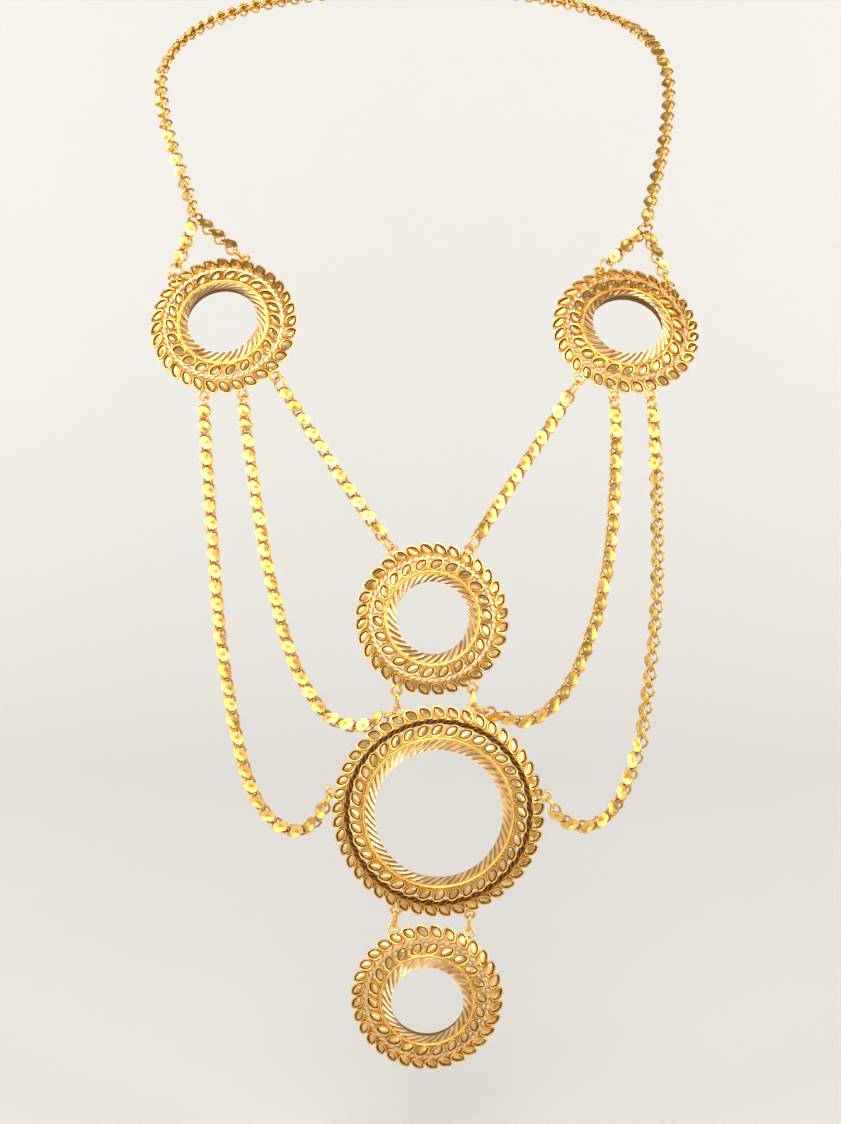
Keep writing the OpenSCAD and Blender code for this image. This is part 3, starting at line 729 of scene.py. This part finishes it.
# side, waypoints from the apex ring round to the clasp, and rolls (at which link, how much)
NECK = {
    "left": (
        -1,
        [(-72.29, -87.02, -69.33), (-75.3, -81.3, -62.3), (-78.5, -74.8, -54.6), (-81.1, -68, -47.3),
         (-83.2, -60, -39), (-83.9, -53, -31.8), (-81.8, -46.6, -25.6), (-78, -37.5, -19.6),
         (-70.4, -26.2, -13.4), (-58.7, -15.6, -8), (-44, -7.1, -4), (-25.6, -0.6, -1.2)],
        [(0, -21.8), (4, 12), (8, 21), (12, 33), (20, 5), (33, 0)]),
    "right": (
        1,
        [(69.55, -87.83, -73.74), (72, -82, -65.5), (74.5, -75.8, -57.4), (76.4, -69, -49),
         (78, -60.8, -39.5), (78.2, -53.3, -31.5), (76.3, -46.8, -25.2), (72.6, -37.5, -19.2),
         (65.6, -26.2, -13.2), (54.6, -15.6, -8), (41, -7.1, -4), (24, -0.6, -1.2)],
        [(0, -80), (4, -91.4), (8, -100), (12, -112), (26, 0), (33, 0)])}


def neck_out(p):
    """The way the neck chain faces: away from the axis of the neck, and up."""
    return unit(np.stack([p[..., 0] / NECK_WIDE, (p[..., 1] - NECK_MID) / NECK_DEEP,
                          np.full(p.shape[:-1], NECK_UP)], -1))


def clasp_eye_stand(k):
    """How the clasp's eye stands on the side k, which is -1 or 1."""
    return turned(0, CLASP_TURN - k * CLASP_FAN)


for side, (k, mid, rolls) in NECK.items():
    clasp_eye = np.array([k * CLASP_EYE_X, CLASP_Y, 0])
    apex, facing, _ = APEX[side]
    path = route([on_wire(apex, facing, APEX_RING, mid[0])] + mid
                 + [on_wire(clasp_eye, clasp_eye_stand(k)[:, 2], CLASP_EYE_R, mid[-1])])
    chain = links(path, 34, link_hang(RING_W), link_hang(EYE_W), rolls, neck_out)
    piece("platelet_neck_chain_" + side, chain, chain_gold, "neck_chain_" + side, "necklace",
          CHAIN_CREASE)


# Apex rings: a closed round ring of plain wire on each side, which gathers the neck chain and the
# two bails of an upper frame.

plain_gold = gold("drawn_wire_gold", wire=(0.98, 0.60, 0.13), plate=(0.95, 0.70, 0.42),
                  faint=(0.9, 0.62, 0.34), shade=(0.22, 0.10, 0.015), rough=0.18, cut_rough=0.0)
for side, (centre, facing, along) in APEX.items():
    ring = repeated(wire_ring(APEX_RING, RING_W + FULLER, around=32, sides=10),
                    stood(along[None], facing[None], np.array([0.0])), centre[None])
    piece("apex_wire_ring_" + side, ring, plain_gold, "apex_ring_" + side, "necklace")


# Oval links: four links of plain wire, standing edge-on through facing eyes: two hold the
# large frame under the centre frame, two let the drop swing under the large frame.

OVAL_TIP = 1.2  # radius of the middle of the wire round the ends
OVAL_W = RING_W + 0.04  # radius of the visible wire


def oval_wire(half, tip, wire):
    """A closed wire along two half circles joined by straight legs, of round section."""
    t = np.linspace(-math.pi / 2, math.pi / 2, 11)
    ox, oy = np.concatenate([np.cos(t), -np.cos(t)]), np.concatenate([np.sin(t), -np.sin(t)])
    b = (np.arange(10) * math.pi / 5)[:, None]
    out = tip + wire * np.cos(b)
    points = np.stack([np.repeat([half, -half], 11) + out * ox, out * oy, wire * np.sin(b) + 0 * ox], -1)
    return shell(points, grid_faces(10, 22, 0))


# upper eye, lower eye, turn about the link's length, play in the eyes
OVALS = {"link_centre_left": (("centre", -117), ("large", 112), -6, 0.14),
         "link_centre_right": (("centre", -60), ("large", 71), -16, 0.1),
         "link_drop_left": (("large", -113), ("drop", 115), 18, 0.14),
         "link_drop_right": (("large", -73), ("drop", 58), 0, 0.14)}
for name, (upper, lower, turn, slack) in OVALS.items():
    (ca, na), (cb, nb) = eye(*upper), eye(*lower)
    p, q = on_wire(ca, na, EYE_R, cb), on_wire(cb, nb, EYE_R, ca)
    half = np.linalg.norm(q - p) / 2 + EYE_W + RING_W + slack - OVAL_TIP
    pose = stood(unit(q - p)[None], np.array([[0.0, -1, 0]]), np.array([90.0 + turn]))
    piece("oval_" + name, repeated(oval_wire(half, OVAL_TIP, OVAL_W), pose, [(p + q) / 2]), plain_gold,
          name, "drop" if "drop" in name else "necklace")


# Clasp: a closed barrel behind the neck, two turned halves that meet at a fine seam,
# with a band of milling each side of it and a wire eye soldered at each end.


def barrel():
    """Revolve of the barrel's section about x; the milled bands are cut in and out
    from column to column."""
    # distance from the seam and radius, from the end to the seam
    half = np.array([(4.6, 0), (4.6, 1.25), (4.35, 1.45), (4.15, 1.7), (3.2, 1.98), (2.2, 2.0),
                     (2.1, 1.94), (0.45, 1.94), (0.35, 2.0), (0.1, 1.76)])
    x = np.concatenate([-half[:, 0], half[::-1, 0]])[:, None]
    r = np.concatenate([half[:, 1], half[::-1, 1]])[:, None]
    row = np.arange(len(r))[:, None]
    a = np.arange(48) * math.pi / 24
    r = r + np.isin(row, [6, 7, 12, 13]) * 0.05 * np.cos(24 * a)
    points = np.stack([x + 0 * a, CLASP_Y + r * np.cos(a), r * np.sin(a)], -1)
    seam = 0.4 * np.isin(row, [9, 10]) + 0 * a
    return shell(points, grid_faces(20, 48, pinched=True), 0, seam)


clasp_eyes = repeated(wire_ring(CLASP_EYE_R, EYE_W), [clasp_eye_stand(-1), clasp_eye_stand(1)],
                      [(-CLASP_EYE_X, CLASP_Y, 0), (CLASP_EYE_X, CLASP_Y, 0)])
piece("barrel_clasp", joined([barrel(), clasp_eyes]), plain_gold, "clasp", "necklace")
